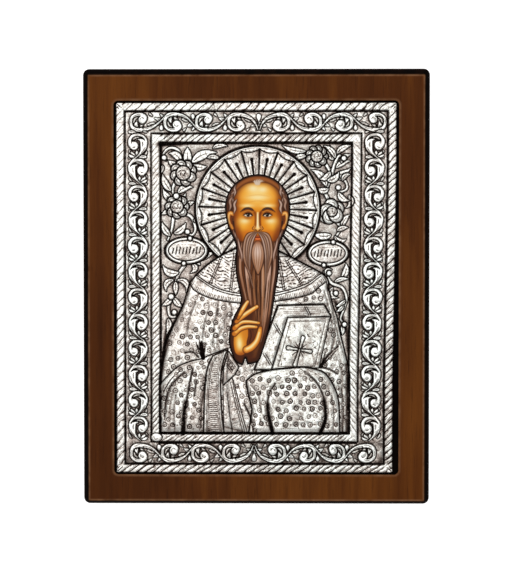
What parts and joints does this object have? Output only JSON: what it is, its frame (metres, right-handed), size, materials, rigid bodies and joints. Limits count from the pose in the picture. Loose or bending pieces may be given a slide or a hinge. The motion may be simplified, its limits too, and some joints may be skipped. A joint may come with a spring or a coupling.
{
  "type": "silver icon",
  "caption": "Wall or shelf icon: an embossed, oxidised silver cover with a painted saint's head, beard and hand, set in a bevelled stained wooden board.",
  "frame": {"origin": "middle of the board's back, which is the underside of the icon as it lies", "axes": "+Z is the front of the icon and points up as it lies, +Y is the top of the picture, +X is the picture's right"},
  "size_m": [0.2, 0.2514, 0.0201],
  "materials": {
    "stained_wood": "dark walnut stain under satin varnish, nearly black on the bevelled edge",
    "oxidised_silver": "embossed silver, polished on the high places and oxidised black in the hollows",
    "paint": "painted in browns and warm flesh tones under gloss varnish"
  },
  "bodies": {
    "root": {"wood_board": "stained_wood", "silver_cover": "oxidised_silver", "painted_panel": "paint"}
  },
  "joints": []
}
